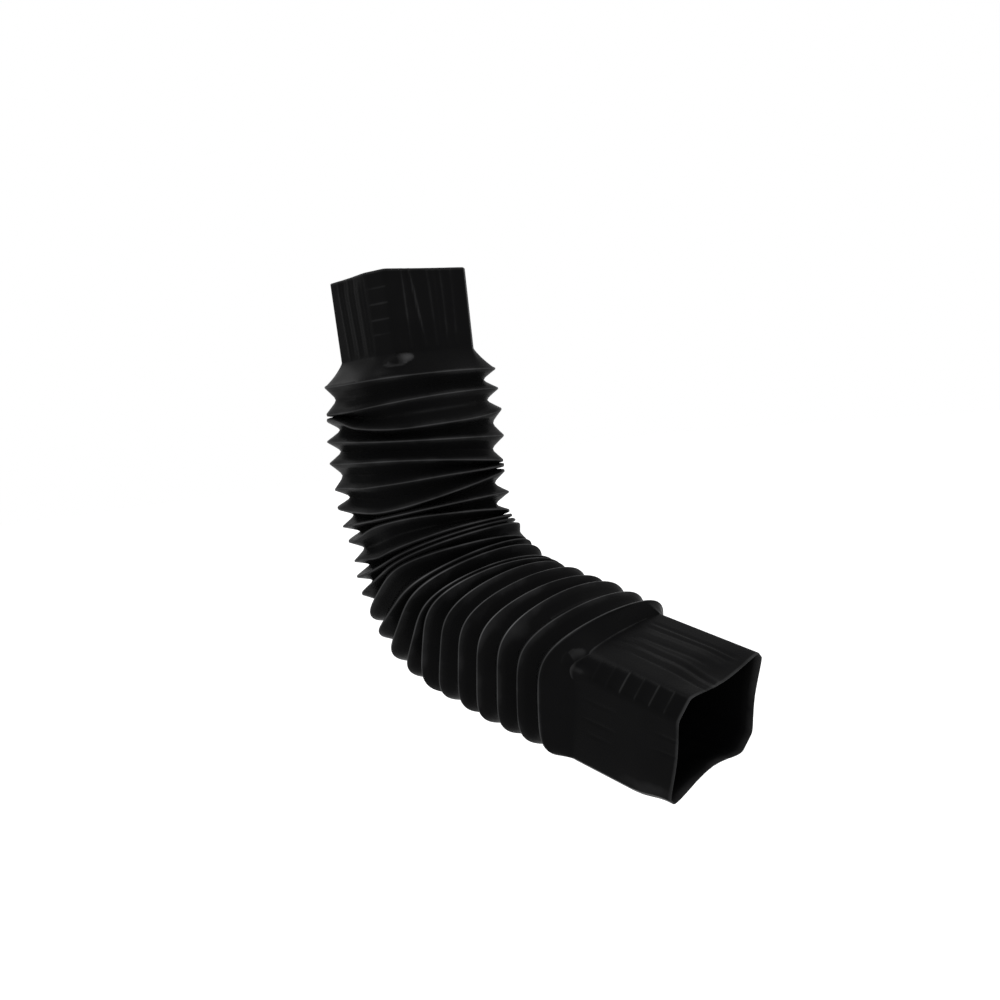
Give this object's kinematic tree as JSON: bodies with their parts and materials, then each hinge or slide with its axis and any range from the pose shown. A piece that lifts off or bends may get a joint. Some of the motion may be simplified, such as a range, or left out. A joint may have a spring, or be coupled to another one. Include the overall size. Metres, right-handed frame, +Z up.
{
  "type": "flexible downspout elbow",
  "caption": "Flexible bellows elbow for rectangular rain downspouts, one piece of black plastic with a ribbed collar at each end",
  "frame": {"origin": "centre of the inlet collar's back face, the one on the heel side of the bend, halfway along the collar", "axes": "+Z up along the inlet collar and out of its rim, +X from the back face to the front face, the way the outlet turns, +Y to the far side"},
  "size_m": [0.3254, 0.1706, 0.383],
  "materials": {
    "black_plastic": "dull black polyethylene, faintly uneven from the mould"
  },
  "bodies": {
    "root": {"flex_elbow": "black_plastic"}
  },
  "joints": []
}
